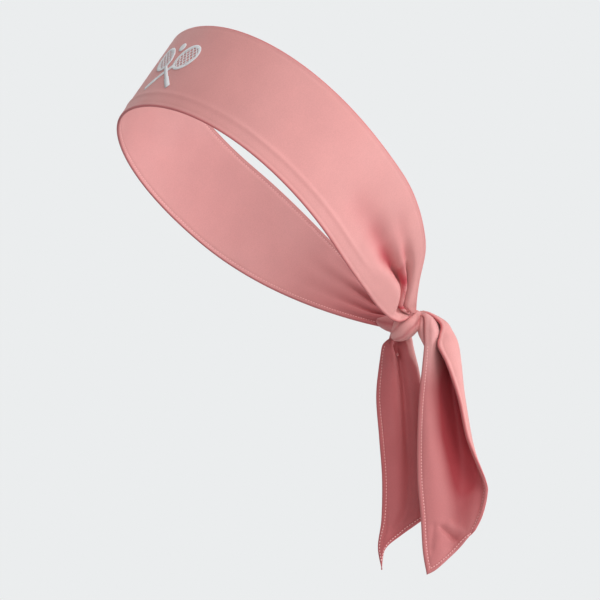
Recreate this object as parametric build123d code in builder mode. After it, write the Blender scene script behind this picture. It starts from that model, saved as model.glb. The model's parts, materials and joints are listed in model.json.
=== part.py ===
from build123d import *
import os
from math import acos, cos, pi, radians, sin

# Tie headband for racket sports: a two-layer strip of smooth stretch knit that goes round the head
# and is knotted behind it, with both slant-cut ends hanging as tails. Millimetres.
# The origin is the middle of the head opening, -Y is the wearer's front, +X the wearer's left, +Z up.
# The loop lies in its own plane, which rises towards the front.

# ---- Loop round the head ----
loop_length = 200.0         # from the forehead to the knot, outside
left_half_width = 82.5      # outside, from the middle plane to the wearer's left side
right_half_width = 77.5
left_taper = 0.85           # how early each side draws in towards the knot
right_taper = 0.44
loop_tilt = 38.3            # degrees, front above back
band_width = 56.0
shell_thickness = 0.9       # outer knit layer
lining_thickness = 0.8      # inner knit layer
knot_width = 15.0           # width of the gathered band where it enters the knot
gather_start = 0.53         # share of the half loop where the band starts to gather
gather_drop = 8.5           # how far the gathered end sinks across the band
knot_shift = -3.4           # the knot sits a little to the wearer's right

# ---- Stitching and print ----
thread_thickness = 0.4
stitch_width = 0.7
hem_width = 2.6             # stitch line to the edge
print_thickness = 0.25
print_turn = 16.0           # degrees round from the forehead towards the wearer's left
racket_angle = 50.0         # each printed racket leans this far from upright
racket_cross_height = -4.0  # where the two handles cross
racket_head_length = 20.0
racket_head_width = 15.0
racket_rim = 2.2
racket_reach = 14.5         # from the crossing to the middle of the head
handle_tail = 17.0          # from the crossing to the end of the handle
handle_width = 2.6
ball_radius = 2.8
ball_height = 12.5

# ---- Knot: places are (x, y, z) from the knot's middle ----
wrap_radius = 7.6
wrap_length = 20.0
wrap_crown = 1.2            # how much fatter the roll is in its middle than at its ends
wrap_place = (-0.6, -2.8, -2.0)
loop_crown = 2.6            # the same for the two loops
left_loop_radius = 8.0
left_loop_length = 17.0
right_loop_radius = 5.6
right_loop_length = 16.0
right_loop_tuck = 1.5       # how far its end goes under the wrap
bridge_height = 9.0         # the strip that joins the left loop to the wrap
bridge_width = 8.0
swing_gap = 0.5             # between a loop and the tail that swings about it

# ---- Tails: places are from the knot's middle, edges are (y, z) seen from the wearer's left ----
tail_turn = 20.0            # degrees that a tail's face turns from straight sideways to the front
tail_length = 142.0
left_pivot_place = (10.4, 15.0, -1.4)
left_trough_chord = 44.0    # across the folded strip
left_trough_depth = 8.0
left_trough_y = 21.8
left_edges = (
    [(8.8, -5.5), (4.8, -40.0), (3.6, -76.0), (6.8, -139.0)],       # front
    [(20.0, -5.5), (26.5, -26.0), (32.3, -65.0), (40.0, -93.0)],    # back
    (34.3, -112.0),                                                 # on the slanted end
)
right_pivot_place = (-18.6, 0.4, -3.4)
right_trough_chord = 36.0
right_trough_depth = 5.0
right_trough_y = 3.3
right_edges = (
    [(-5.2, -6.4), (-10.6, -40.0), (-8.7, -78.0), (-9.2, -136.0)],
    [(5.0, -6.4), (11.0, -27.0), (15.0, -66.0), (17.2, -105.0)],
    (3.9, -117.5),
)

# ---- Worked out from the sizes above ----
half_length = loop_length / 2
wall = shell_thickness + lining_thickness
tilt_sin = sin(radians(loop_tilt))
tilt_cos = cos(radians(loop_tilt))
loop_plane = Plane(origin=(0, 0, 0), x_dir=(1, 0, 0), z_dir=(0, tilt_sin, tilt_cos))
side_plane = Plane(origin=(0, 0, 0), x_dir=(0, tilt_cos, -tilt_sin), z_dir=(1, 0, 0))
print_sin = sin(radians(print_turn))
print_cos = cos(radians(print_turn))
print_plane = Plane(
    origin=(0, 0, 0),
    x_dir=(print_cos, print_sin * tilt_cos, -print_sin * tilt_sin),
    z_dir=(print_sin, -print_cos * tilt_cos, print_cos * tilt_sin),
)
knot = (
    knot_shift,
    half_length * tilt_cos - gather_drop * tilt_sin,
    -half_length * tilt_sin - gather_drop * tilt_cos,
)
side_of_knot = Plane(origin=knot, x_dir=(0, 1, 0), z_dir=(1, 0, 0))
loop_steps = 32
loop_end_turn = 0.905 * pi  # where the band is swallowed by the knot
loop_turns = [loop_end_turn * (2 * i / loop_steps - 1) for i in range(loop_steps + 1)]
reach = 2 * loop_length     # past everything, for cutting prisms


def from_knot(place):
    """A place given from the knot's middle, in the headband's own frame."""
    return tuple(middle + offset for middle, offset in zip(knot, place))


def rim_point(turn):
    """A point of the loop's plan: turn is 0 at the forehead, +pi and -pi at the knot."""
    half_width, taper = (left_half_width, left_taper) if turn >= 0 else (right_half_width, right_taper)
    widest = acos(taper / (2 + taper))
    spread = sin(turn) * cos(turn / 2) ** taper
    largest = sin(widest) * cos(widest / 2) ** taper
    lean = knot_shift * max(0.0, 2 * abs(turn) / pi - 1) ** 2
    return half_width * spread / largest + lean, -half_length * cos(turn)


def loop_point(turn, inset):
    """The rim point moved inwards, square to the plan, by inset."""
    step = 0.002
    x, y = rim_point(turn)
    x_before, y_before = rim_point(turn - step)
    x_after, y_after = rim_point(turn + step)
    along_x, along_y = x_after - x_before, y_after - y_before
    size = (along_x**2 + along_y**2) ** 0.5
    return x - inset * along_y / size, y + inset * along_x / size


def band_edges(half_loop_share, edge_inset):
    """Top and bottom of the band in the loop's own height, at a share of the way to the knot."""
    gathered = max(0.0, (half_loop_share - gather_start) / (1 - gather_start))
    gathered = gathered * gathered * (3 - 2 * gathered)
    width = band_width + (knot_width - band_width) * gathered
    middle = -gather_drop * gathered
    inset = edge_inset * width / band_width
    return middle + width / 2 - inset, middle - width / 2 + inset


def add_loop_wall(outer_inset, inner_inset):
    """A tall wall that follows the loop between two insets, open where the knot is."""
    with BuildSketch(loop_plane.offset(-band_width)) as plan:
        with BuildLine():
            outside = Spline(*[loop_point(turn, outer_inset) for turn in loop_turns])
            inside = Spline(*[loop_point(turn, inner_inset) for turn in reversed(loop_turns)])
            Line(outside @ 1, inside @ 0)
            Line(inside @ 1, outside @ 0)
        make_face()
    extrude(plan.sketch, amount=2 * band_width)


def keep_between_edges(upper_inset, lower_inset, upper_edge=0, lower_edge=1):
    """Trims a wall to the strip between two lines that run along the band's edges."""
    shares = [gather_start + (1 - gather_start) * i / 8 for i in range(9)]
    upper = [(-half_length * cos(pi * s), band_edges(s, upper_inset)[upper_edge]) for s in shares]
    lower = [(-half_length * cos(pi * s), band_edges(s, lower_inset)[lower_edge]) for s in shares]
    front_y = -half_length - wall - 5
    with BuildSketch(side_plane) as strip:
        with BuildLine():
            top = Spline(*upper)
            bottom = Spline(*lower)
            Polyline(top @ 0, (front_y, upper[0][1]), (front_y, lower[0][1]), bottom @ 0)
            Line(top @ 1, bottom @ 1)
        make_face()
    extrude(strip.sketch, amount=loop_length, both=True, mode=Mode.INTERSECT)


def crossed_rackets():
    """The printed emblem: two plain rackets crossed below a ball."""
    with BuildSketch(Plane.XY, mode=Mode.PRIVATE) as emblem:
        with Locations((0, ball_height)):
            Circle(ball_radius)
        for lean in (-racket_angle, racket_angle):
            along = Plane((0, racket_cross_height, 0)).rotated((0, 0, lean))
            head = along.from_local_coords((0, racket_reach, 0))
            grip_length = handle_tail + racket_reach - racket_head_length / 2 + racket_rim / 2
            grip = along.from_local_coords((0, grip_length / 2 - handle_tail, 0))
            with Locations(Location((head.X, head.Y, 0), (0, 0, lean))):
                Ellipse(racket_head_width / 2, racket_head_length / 2)
                Ellipse(
                    racket_head_width / 2 - racket_rim,
                    racket_head_length / 2 - racket_rim,
                    mode=Mode.SUBTRACT,
                )
            with Locations(Location((grip.X, grip.Y, 0), (0, 0, lean))):
                Rectangle(handle_width, grip_length)
    return emblem.sketch


def add_roll(center, radius, length, crown_height):
    """A short crowned roll of cloth that lies across the head."""
    x, y, z = center
    with BuildSketch(Plane(origin=(x, y, z), x_dir=(1, 0, 0), z_dir=(0, -1, 0))) as half:
        with BuildLine():
            crown = ThreePointArc(
                (-length / 2, radius - crown_height), (0, radius), (length / 2, radius - crown_height)
            )
            Polyline(crown @ 1, (length / 2, 0), (-length / 2, 0), crown @ 0)
        make_face()
    revolve(half.sketch, axis=Axis((x, y, z), (1, 0, 0)), revolution_arc=360)


def trough_center(pivot, trough_y, chord, depth):
    """Where the centre of the tail's folded section lies, and the section's outer radius."""
    radius = (chord**2 / 4 + depth**2) / (2 * depth)
    turn = radians(tail_turn)
    x = pivot[0] + (radius - depth) * cos(turn)
    y = knot[1] + trough_y - (radius - depth) * sin(turn)
    return x, y, radius


def add_tail_layer(pivot, trough_y, chord, depth, outer_inset, inner_inset):
    """One layer of a tail before it is cut to its outline: a long shallow trough, mouth to +X."""
    x, y, radius = trough_center(pivot, trough_y, chord, depth)
    spread = 2 * acos(1 - depth / radius) * 180 / pi
    start = 180 - tail_turn - spread / 2
    with BuildSketch(Plane.XY.offset(knot[2] - tail_length)) as section:
        with BuildLine():
            outside = CenterArc((x, y), radius - outer_inset, start, spread)
            inside = CenterArc((x, y), radius - inner_inset, start, spread)
            Line(outside @ 0, inside @ 0)
            Line(outside @ 1, inside @ 1)
        make_face()
    extrude(section.sketch, amount=tail_length)


def tail_outline(edges, inset):
    """A tail's outline seen from the side, moved inwards by inset along its sides and slanted end."""
    front_edge, back_edge, (bulge_y, bulge_z) = edges
    tip_y, tip_z = front_edge[-1]
    corner_y, corner_z = back_edge[-1]
    rise = (corner_z - tip_z) / (corner_y - tip_y)
    slant = (1 + rise**2) ** 0.5
    front_points = [(y + inset, z) for y, z in front_edge[:-1]]
    front_points.append((tip_y + inset, tip_z + inset * (slant + rise)))
    back_points = [(y - inset, z) for y, z in back_edge[:-1]]
    back_points.append((corner_y - inset, corner_z + inset * (slant - rise)))
    end_point = (bulge_y - inset * rise / slant, bulge_z + inset / slant)
    with BuildSketch(side_of_knot, mode=Mode.PRIVATE) as outline:
        with BuildLine():
            front = Spline(*front_points)
            back = Spline(*back_points)
            Line(front @ 0, back @ 0)
            Spline(back @ 1, end_point, front @ 1)
        make_face()
    return outline.sketch


def cut_tail_outline(edges, pivot, loop_radius):
    """Trims a tail to its outline and leaves room for the loop that it swings about."""
    extrude(tail_outline(edges, 0), amount=reach, both=True, mode=Mode.INTERSECT)
    with BuildSketch(Plane.YZ) as room:
        with Locations((pivot[1], pivot[2])):
            Circle(loop_radius + swing_gap)
    extrude(room.sketch, amount=reach, both=True, mode=Mode.SUBTRACT)


def cut_to_hem(edges):
    """Keeps only a narrow line, a hem's width inside a tail's outline, open at the top."""
    front_edge, back_edge, _ = edges
    open_width = back_edge[0][0] - front_edge[0][0]
    open_height = 2 * (hem_width + 3 * stitch_width)
    extrude(tail_outline(edges, hem_width), amount=reach, both=True, mode=Mode.INTERSECT)
    extrude(tail_outline(edges, hem_width + stitch_width), amount=reach, both=True, mode=Mode.SUBTRACT)
    with BuildSketch(side_of_knot) as opening:
        with Locations(((front_edge[0][0] + back_edge[0][0]) / 2, front_edge[0][1])):
            Rectangle(open_width, open_height)
    extrude(opening.sketch, amount=reach, both=True, mode=Mode.SUBTRACT)


# ---- Knot ----
wrap_middle = from_knot(wrap_place)
left_pivot = from_knot(left_pivot_place)
right_pivot = from_knot(right_pivot_place)
right_loop_x = wrap_middle[0] - (wrap_length + right_loop_length) / 2 + right_loop_tuck

with BuildPart() as knot_wrap:
    add_roll(wrap_middle, wrap_radius, wrap_length, wrap_crown)
knot_wrap.part.label = "knot_wrap"

with BuildPart() as knot_left_loop:
    add_roll(left_pivot, left_loop_radius, left_loop_length, loop_crown)
    with BuildSketch(Plane.XY.offset(left_pivot[2] - bridge_height / 2)) as bridge:
        with Locations((wrap_middle[0] + wrap_length / 2, (wrap_middle[1] + left_pivot[1]) / 2)):
            Rectangle(bridge_width, left_pivot[1] - wrap_middle[1])
    extrude(amount=bridge_height)
    add(knot_wrap.part, mode=Mode.SUBTRACT)
knot_left_loop.part.label = "knot_left_loop"

with BuildPart() as knot_right_loop:
    add_roll((right_loop_x, *right_pivot[1:]), right_loop_radius, right_loop_length, loop_crown)
    add(knot_wrap.part, mode=Mode.SUBTRACT)
knot_right_loop.part.label = "knot_right_loop"

knot_pieces = [knot_wrap, knot_left_loop, knot_right_loop]

# ---- Band: outer shell, lining, edge stitching and front print ----
with BuildPart() as band_shell:
    add_loop_wall(0, shell_thickness)
    keep_between_edges(0, 0)
    for piece in knot_pieces:
        add(piece.part, mode=Mode.SUBTRACT)
band_shell.part.label = "band_shell"

with BuildPart() as band_lining:
    add_loop_wall(shell_thickness, wall)
    keep_between_edges(0, 0)
    for piece in knot_pieces:
        add(piece.part, mode=Mode.SUBTRACT)
band_lining.part.label = "band_lining"

with BuildPart() as band_top_stitching:
    add_loop_wall(wall, wall + thread_thickness)
    keep_between_edges(hem_width, hem_width + stitch_width, 0, 0)
    for piece in knot_pieces:
        add(piece.part, mode=Mode.SUBTRACT)
band_top_stitching.part.label = "band_top_stitching"

with BuildPart() as band_bottom_stitching:
    add_loop_wall(wall, wall + thread_thickness)
    keep_between_edges(hem_width + stitch_width, hem_width, 1, 1)
    for piece in knot_pieces:
        add(piece.part, mode=Mode.SUBTRACT)
band_bottom_stitching.part.label = "band_bottom_stitching"

with BuildPart() as front_print:
    add_loop_wall(-print_thickness, 0)
    with BuildSketch(print_plane) as emblem:
        add(crossed_rackets())
    extrude(amount=loop_length, mode=Mode.INTERSECT)
front_print.part.label = "front_print"

# ---- Tails ----
with BuildPart() as left_tail_shell:
    add_tail_layer(left_pivot, left_trough_y, left_trough_chord, left_trough_depth, 0, shell_thickness)
    cut_tail_outline(left_edges, left_pivot, left_loop_radius)
left_tail_shell.part.label = "left_tail_shell"

with BuildPart() as left_tail_lining:
    add_tail_layer(left_pivot, left_trough_y, left_trough_chord, left_trough_depth, shell_thickness, wall)
    cut_tail_outline(left_edges, left_pivot, left_loop_radius)
left_tail_lining.part.label = "left_tail_lining"

with BuildPart() as left_tail_stitching:
    add_tail_layer(
        left_pivot, left_trough_y, left_trough_chord, left_trough_depth, wall, wall + thread_thickness
    )
    cut_to_hem(left_edges)
left_tail_stitching.part.label = "left_tail_stitching"

with BuildPart() as right_tail_shell:
    add_tail_layer(right_pivot, right_trough_y, right_trough_chord, right_trough_depth, 0, shell_thickness)
    cut_tail_outline(right_edges, right_pivot, right_loop_radius)
right_tail_shell.part.label = "right_tail_shell"

with BuildPart() as right_tail_lining:
    add_tail_layer(
        right_pivot, right_trough_y, right_trough_chord, right_trough_depth, shell_thickness, wall
    )
    cut_tail_outline(right_edges, right_pivot, right_loop_radius)
right_tail_lining.part.label = "right_tail_lining"

with BuildPart() as right_tail_stitching:
    add_tail_layer(
        right_pivot, right_trough_y, right_trough_chord, right_trough_depth, wall, wall + thread_thickness
    )
    cut_to_hem(right_edges)
right_tail_stitching.part.label = "right_tail_stitching"

os.makedirs("parts", exist_ok=True)
export_step(band_shell.part, "parts/band_shell.step")
export_step(band_lining.part, "parts/band_lining.step")
export_step(band_top_stitching.part, "parts/band_top_stitching.step")
export_step(band_bottom_stitching.part, "parts/band_bottom_stitching.step")
export_step(front_print.part, "parts/front_print.step")
export_step(knot_wrap.part, "parts/knot_wrap.step")
export_step(knot_left_loop.part, "parts/knot_left_loop.step")
export_step(knot_right_loop.part, "parts/knot_right_loop.step")
export_step(left_tail_shell.part, "parts/left_tail_shell.step")
export_step(left_tail_lining.part, "parts/left_tail_lining.step")
export_step(left_tail_stitching.part, "parts/left_tail_stitching.step")
export_step(right_tail_shell.part, "parts/right_tail_shell.step")
export_step(right_tail_lining.part, "parts/right_tail_lining.step")
export_step(right_tail_stitching.part, "parts/right_tail_stitching.step")
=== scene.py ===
import bpy
import json
import numpy as np
from math import asin, cos, pi, radians, sin
from mathutils import Matrix, Vector


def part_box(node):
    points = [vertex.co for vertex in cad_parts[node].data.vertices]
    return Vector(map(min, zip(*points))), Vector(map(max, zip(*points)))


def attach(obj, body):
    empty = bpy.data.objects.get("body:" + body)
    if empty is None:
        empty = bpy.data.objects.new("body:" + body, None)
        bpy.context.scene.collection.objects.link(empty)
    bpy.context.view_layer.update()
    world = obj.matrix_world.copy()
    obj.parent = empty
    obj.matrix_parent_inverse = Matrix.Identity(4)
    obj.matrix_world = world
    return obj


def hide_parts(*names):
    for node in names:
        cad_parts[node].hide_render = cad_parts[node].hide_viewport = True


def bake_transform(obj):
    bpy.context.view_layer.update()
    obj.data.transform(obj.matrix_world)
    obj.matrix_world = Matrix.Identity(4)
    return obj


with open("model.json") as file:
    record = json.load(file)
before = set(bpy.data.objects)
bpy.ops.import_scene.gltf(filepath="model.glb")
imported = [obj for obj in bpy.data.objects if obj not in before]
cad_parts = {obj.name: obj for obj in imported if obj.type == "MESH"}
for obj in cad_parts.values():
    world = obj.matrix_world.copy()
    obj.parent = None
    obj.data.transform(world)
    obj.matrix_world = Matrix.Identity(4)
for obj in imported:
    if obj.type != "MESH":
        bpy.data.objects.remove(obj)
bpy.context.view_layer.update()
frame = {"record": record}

bpy.ops.object.select_all(action="DESELECT")

# The headband is one strip of two-layer knit: a loop for the head, a knot, and two tails.
# Every length is in metres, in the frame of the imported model.

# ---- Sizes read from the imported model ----
MM = 0.001
opening_axis = Vector(frame["record"]["mounts"][0]["axis"]).normalized()
tilt = asin(opening_axis.y)
tilt_sin, tilt_cos = sin(tilt), cos(tilt)
shell_low, shell_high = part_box("band_shell")
double_tilt_cos = tilt_cos**2 - tilt_sin**2
HALF_LENGTH = (-shell_low.y * tilt_cos - shell_high.z * tilt_sin) / double_tilt_cos
HALF_BAND = (shell_high.z * tilt_cos + shell_low.y * tilt_sin) / double_tilt_cos
BAND_WIDTH = 2 * HALF_BAND
LEFT_HALF_WIDTH = shell_high.x
RIGHT_HALF_WIDTH = -shell_low.x

# ---- How the loop runs to the knot ----
LEFT_TAPER = 0.85           # how early each side draws in towards the knot
RIGHT_TAPER = 0.44
KNOT_SHIFT = -3.4 * MM
GATHER_DROP = 8.9 * MM      # how far the gathered end sinks across the band
KNOT_DROP = 8.5 * MM        # how far the knot's middle sinks across the band
KNOT = np.array((
    KNOT_SHIFT,
    HALF_LENGTH * tilt_cos - KNOT_DROP * tilt_sin,
    -HALF_LENGTH * tilt_sin - KNOT_DROP * tilt_cos,
))
KNOT_WIDTH = 12.7 * MM      # of the gathered band where it enters the knot
KNIT = 0.45 * MM            # thickness of one layer
HEM = 0.8 * MM              # half the thickness of the two layers together, rounded over at a hem
EDGE_GAP = 0.1 * MM         # how far each layer stands off the middle at the very edge
HEM_STEPS = np.array((0, 0.1, 0.3, 0.55, 0.85, 1.3, 1.9, 2.4, 2.9, 3.6)) * MM
STITCH_LINE = 7             # which of those steps the stitching runs on
STITCH_PITCH = 1.75 * MM
STITCH_LENGTH = 1.15 * MM
STITCH_WIDTH = 0.62 * MM
STITCH_FLATNESS = 0.8       # a stitch's height as a share of its width
STITCH_SIDES = 6
# A stitch's rings: their place and girth, as shares of half its length and width.
STITCH_RINGS = ((-0.72, 0.7), (0.0, 1.0), (0.72, 0.7))
SIDE_TURN = radians(20)     # the tails' faces turn this far from sideways to the front
KNOT_AXES = np.array((
    (sin(SIDE_TURN), cos(SIDE_TURN), 0),        # aft
    (cos(SIDE_TURN), -sin(SIDE_TURN), 0),       # out to the wearer's left
    (0, 0, 1),                                  # up
))


# ---- Cloth tools ----
def ease(x):
    x = np.clip(x, 0, 1)
    return x * x * (3 - 2 * x)


def smooth_line(points, at):
    """Points of a smooth line through control points; at counts the control points from 0."""
    points = np.asarray(points, float)
    first = 2 * points[:1] - points[1:2]
    last = 2 * points[-1:] - points[-2:-1]
    padded = np.concatenate([first, points, last])
    at = np.asarray(at, float)
    k = np.clip(at.astype(int), 0, len(points) - 2)
    t = (at - k).reshape(at.shape + (1,) * (points.ndim - 1))
    a, b, c, d = padded[k], padded[k + 1], padded[k + 2], padded[k + 3]
    return 0.5 * (2 * b + (c - a) * t + (2 * a - 5 * b + 4 * c - d) * t**2 + (3 * b - a - 3 * c + d) * t**3)


def by_table(x, table):
    """A value eased between (place, value) pairs."""
    places, values = zip(*table)
    x = np.asarray(x, float)
    k = np.clip(np.searchsorted(places, x) - 1, 0, len(places) - 2)
    places, values = np.array(places), np.array(values, float)
    t = ease((x - places[k]) / (places[k + 1] - places[k]))
    return values[k] + (values[k + 1] - values[k]) * t


def from_knot(points):
    """Places given as (aft, out, up) millimetres from the knot's middle, in the headband's frame."""
    return np.asarray(points, float) * MM @ KNOT_AXES + KNOT


def unit(vectors):
    return vectors / np.maximum(np.linalg.norm(vectors, axis=-1, keepdims=True), 1e-12)


def grid_normals(grid):
    return unit(np.cross(np.gradient(grid, axis=0), np.gradient(grid, axis=1)))


def run_along(line):
    """How far each point of a line is from its start, along the line."""
    return np.concatenate([[0], np.cumsum(np.linalg.norm(np.diff(line, axis=0), axis=1))])


def values_at(at, far, values):
    """Three-part values taken at some distances along a line."""
    return np.stack([np.interp(at, far, values[:, i]) for i in range(3)], 1)


def grid_quads(rows, cols):
    """The four corners of every cell of a grid of points."""
    index = np.arange(rows * cols).reshape(rows, cols)
    return np.stack([index[:-1, :-1], index[1:, :-1], index[1:, 1:], index[:-1, 1:]], -1).reshape(-1, 4)


def flat_pattern(grid):
    """Metres along and across the cloth at each point of a grid, for the knit pattern."""
    along = np.concatenate([[0], np.cumsum(np.linalg.norm(np.diff(grid, axis=0), axis=2).mean(1))])
    across = np.concatenate([[0], np.cumsum(np.linalg.norm(np.diff(grid, axis=1), axis=2).mean(0))])
    return np.stack(np.meshgrid(along, across, indexing="ij"), -1)


def mesh_piece(name, points, faces, material):
    mesh = bpy.data.meshes.new(name)
    mesh.from_pydata(np.asarray(points).reshape(-1, 3).tolist(), [], faces)
    mesh.materials.append(material)
    mesh.shade_smooth()
    piece = bpy.data.objects.new(name, mesh)
    bpy.context.scene.collection.objects.link(piece)
    return piece


def cloth(name, grid, material, thickness=KNIT, face_up=True, hem=1.0, painted_shade=0.0):
    """A sheet of cloth from a grid of points, with its flat pattern as UV, in metres.

    hem is each point's distance from the nearest hem; the other value is how much shade is painted on it for
    lying in a fold, from 0 to 1. The knit paints shade from both: a darker, redder colour at turned hems and
    in folds."""
    quads = grid_quads(*grid.shape[:2])
    if not face_up:
        quads = quads[:, ::-1]
    piece = mesh_piece(name, grid, quads.tolist(), material)
    uv = piece.data.uv_layers.new(name="flat")
    corners = np.empty(len(piece.data.loops), int)
    piece.data.loops.foreach_get("vertex_index", corners)
    uv.data.foreach_set("uv", flat_pattern(grid).reshape(-1, 2)[corners].ravel())
    for key, values in (("hem", hem), ("painted_shade", painted_shade)):
        attribute = piece.data.attributes.new(key, "FLOAT", "POINT")
        attribute.data.foreach_set("value", np.broadcast_to(values, grid.shape[:2]).ravel())
    thicken(piece, thickness)
    return piece


def thicken(piece, thickness):
    """Gives a surface its thickness, inwards from the face it shows."""
    wall = piece.modifiers.new("thickness", "SOLIDIFY")
    wall.thickness = thickness
    wall.offset = -1
    bpy.context.view_layer.objects.active = piece
    bpy.ops.object.modifier_apply(modifier="thickness")


def hemmed(grid, axis, count, at_start=True, at_end=True):
    """The grid laid out again along one axis, close-set where the cloth turns over at a hem."""
    lines = np.moveaxis(grid, axis, 0)
    rows = []
    for k in range(lines.shape[1]):
        line = lines[:, k]
        far = run_along(line)
        fine = HEM_STEPS * min(1, far[-1] / (2.5 * HEM_STEPS[-1]))
        start = fine if at_start else fine[:1]
        end = far[-1] - (fine[::-1] if at_end else fine[:1])
        at = np.concatenate([start, np.linspace(start[-1], end[0], count + 2)[1:-1], end])
        rows.append(values_at(at, far, line))
    return np.moveaxis(np.stack(rows, 1), 0, axis)


def edge_distance(grid, axis, at_start=True, at_end=True):
    """How far each point is from the hems at the ends of one axis."""
    lines = unit(np.gradient(grid, axis=0)), unit(np.gradient(grid, axis=1))
    slant = np.linalg.norm(np.cross(*lines), axis=2)
    steps = np.linalg.norm(np.diff(grid, axis=axis), axis=2)
    far = np.cumsum(np.insert(steps, 0, 0, axis=axis), axis=axis)
    whole = np.take(far, [-1], axis=axis)
    distance = np.full(far.shape, 1.0)
    if at_start:
        distance = np.minimum(distance, far)
    if at_end:
        distance = np.minimum(distance, whole - far)
    return distance * slant


def stitch_row(name, line, normals, material):
    """Separate stitches along a line of points, each one a small bead of thread."""
    far = run_along(line)
    at = np.arange(STITCH_PITCH, far[-1] - STITCH_PITCH, STITCH_PITCH)
    half = STITCH_LENGTH / 2
    place, normal = values_at(at, far, line), values_at(at, far, normals)
    tangent = unit(values_at(at + half, far, line) - values_at(at - half, far, line))
    normal = unit(normal - tangent * (normal * tangent).sum(1, keepdims=True))
    side = np.cross(tangent, normal)
    turns = [2 * pi * k / STITCH_SIDES for k in range(STITCH_SIDES)]
    points, faces = [], []
    for i in range(len(at)):
        first = len(points)
        points.append(place[i] - tangent[i] * half)
        for reach, girth in STITCH_RINGS:
            for turn in turns:
                spoke = side[i] * cos(turn) + normal[i] * STITCH_FLATNESS * sin(turn)
                points.append(place[i] + tangent[i] * reach * half + spoke * STITCH_WIDTH / 2 * girth)
        points.append(place[i] + tangent[i] * half)
        last_ring = first + 1 + 2 * STITCH_SIDES
        for k in range(STITCH_SIDES):
            m = (k + 1) % STITCH_SIDES
            faces.append((first, first + 1 + k, first + 1 + m))
            for ring_start in (first + 1, first + 1 + STITCH_SIDES):
                next_ring = ring_start + STITCH_SIDES
                faces.append((ring_start + k, next_ring + k, next_ring + m, ring_start + m))
            faces.append((last_ring + STITCH_SIDES, last_ring + m, last_ring + k))
    return mesh_piece(name, points, faces, material)


# ---- Finishes ----
WALE = 0.55 * MM            # width of one column of the knit
COURSE = 0.42 * MM          # height of one row of the knit
KNIT_ROUGHNESS = 0.6
KNIT_SHEEN = 0.2
KNIT_TINT = (1, 0.8, 0.78, 1)
THREAD_TINT = (1, 0.85, 0.83, 1)
WHITE = (1, 1, 1, 1)
SHEEN_ROUGHNESS = 0.45
ROUGHNESS_SPREAD = 0.06
# Each knit has a deep colour too, which stands in for shade at hems and in folds; it moves with the cloth.
HEM_PAINTED_SHADE = 0.6             # how far painted shade deepens the colour at a turned hem
NOISE_LOW, NOISE_HIGH = 0.3, 0.7        # the part of a noise's range that is used


class Finish:
    """A material and the few things its nodes are built with."""

    def __init__(self, name, roughness, sheen, tint):
        self.material = bpy.data.materials.new(name)
        self.material.use_nodes = True
        self.tree = self.material.node_tree
        self.shader = self.tree.nodes["Principled BSDF"]
        self.set(self.shader, {"Sheen Weight": sheen, "Sheen Roughness": SHEEN_ROUGHNESS, "Sheen Tint": tint})
        self.place = self.node("ShaderNodeTexCoord").outputs["Object"]
        roughness_span = roughness - ROUGHNESS_SPREAD, roughness + ROUGHNESS_SPREAD
        self.set(self.shader, {"Roughness": self.speckled(60, *roughness_span)})

    def set(self, node, inputs):
        for key, value in inputs.items():
            if isinstance(value, bpy.types.NodeSocket):
                self.tree.links.new(value, node.inputs[key])
            else:
                node.inputs[key].default_value = value
        return node

    def node(self, kind, inputs=None, **settings):
        node = self.tree.nodes.new(kind)
        for key, value in settings.items():
            setattr(node, key, value)
        return self.set(node, inputs or {})

    def maths(self, operation, *values):
        return self.node("ShaderNodeMath", dict(enumerate(values)), operation=operation).outputs[0]

    def noise(self, scale, detail=3.0):
        inputs = {"Vector": self.place, "Scale": scale, "Detail": detail}
        return self.node("ShaderNodeTexNoise", inputs).outputs["Fac"]

    def mapped(self, value, low, high, to_low, to_high):
        """A value carried from one range to another and held inside it."""
        ends = {"Value": value, "From Min": low, "From Max": high, "To Min": to_low, "To Max": to_high}
        return self.node("ShaderNodeMapRange", ends).outputs["Result"]

    def speckled(self, scale, low, high, detail=3.0):
        """A noise carried to the range from low to high."""
        return self.mapped(self.noise(scale, detail), NOISE_LOW, NOISE_HIGH, low, high)

    def attribute(self, name):
        return self.node("ShaderNodeAttribute", attribute_name=name).outputs["Fac"]

    def blended(self, share, first, second):
        mix = self.node("ShaderNodeMix", data_type="RGBA")
        self.set(mix, {0: share, 6: (*first, 1), 7: (*second, 1)})
        return mix.outputs[2]

    def colour(self, base, shade):
        """The base colour, made lighter or darker by a shade around 1."""
        tone = self.node("ShaderNodeVectorMath", {0: base, "Scale": shade}, operation="SCALE")
        self.set(self.shader, {"Base Color": tone.outputs[0]})

    def bump(self, height, depth, strength):
        bump = self.node("ShaderNodeBump", {"Height": height, "Distance": depth, "Strength": strength})
        self.set(self.shader, {"Normal": bump.outputs["Normal"]})


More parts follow.
